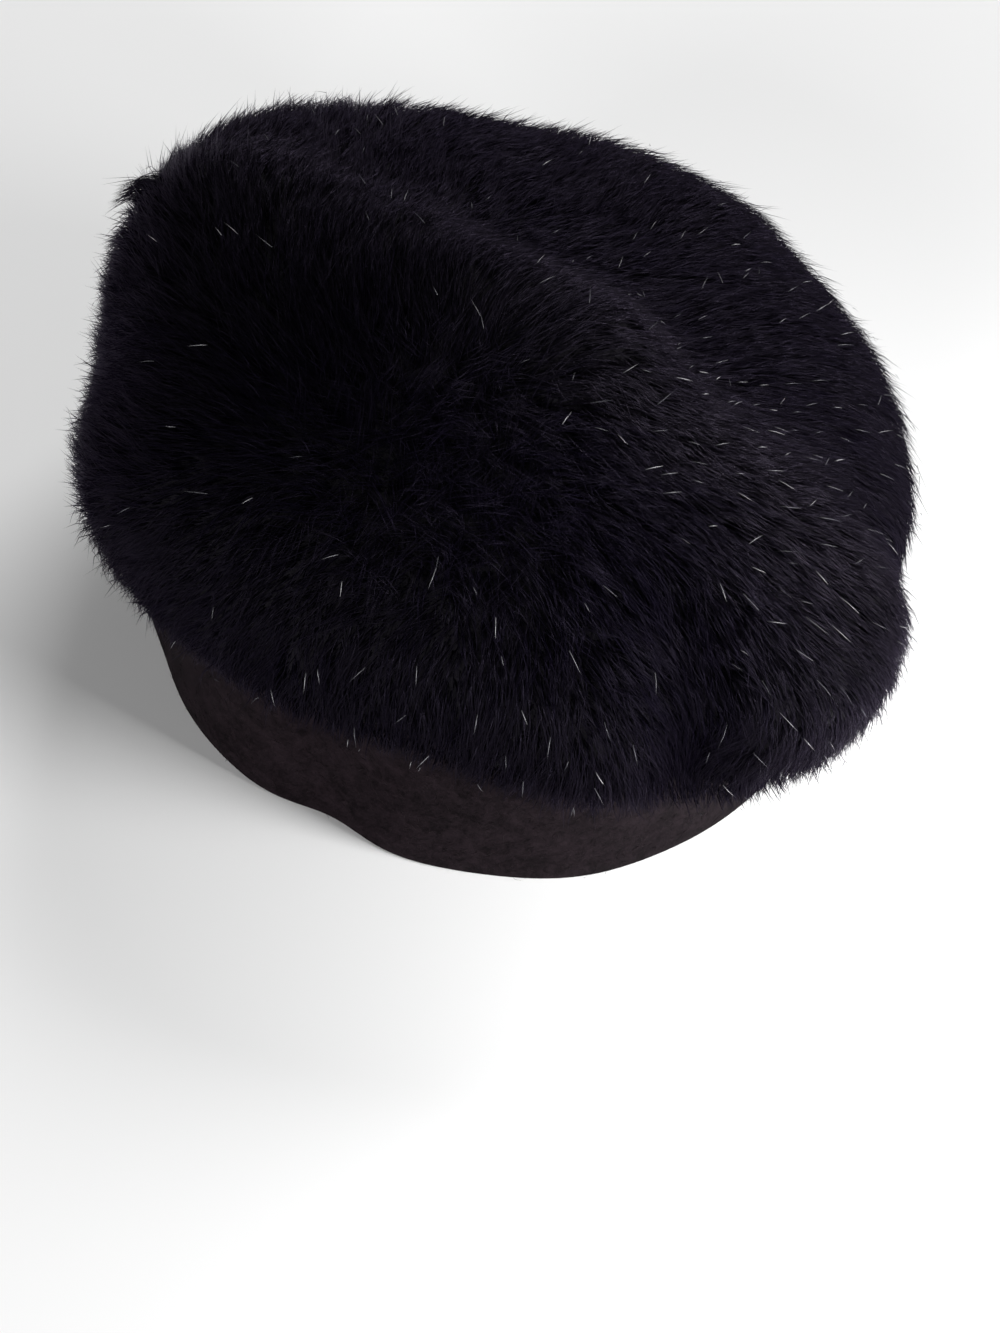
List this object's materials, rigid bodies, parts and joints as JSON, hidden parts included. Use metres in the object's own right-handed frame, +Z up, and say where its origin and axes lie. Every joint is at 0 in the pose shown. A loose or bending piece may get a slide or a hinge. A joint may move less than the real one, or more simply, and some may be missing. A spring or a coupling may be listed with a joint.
{
  "type": "fur pillbox hat",
  "caption": "Soft black fur pillbox hat: a deep fur cover with combed locks over a hollow felt crown and a plain brown felt band, open below for the head.",
  "frame": {"origin": "middle of the whole outline, on the plane that the band's lower edge stands on", "axes": "+Z up out of the top of the hat, -Y to the front that the picture shows, +X to the right as seen from that front"},
  "size_m": [0.2156, 0.2175, 0.107],
  "materials": {
    "band_felt": "smooth dark brown felt with a short nap",
    "crown_felt": "plain dark felt body, seen only from below",
    "fur": "glossy black plush fur with a few silver guard hairs"
  },
  "bodies": {
    "root": {"band": "band_felt", "crown": "crown_felt", "fur_cover": "fur"}
  },
  "joints": []
}
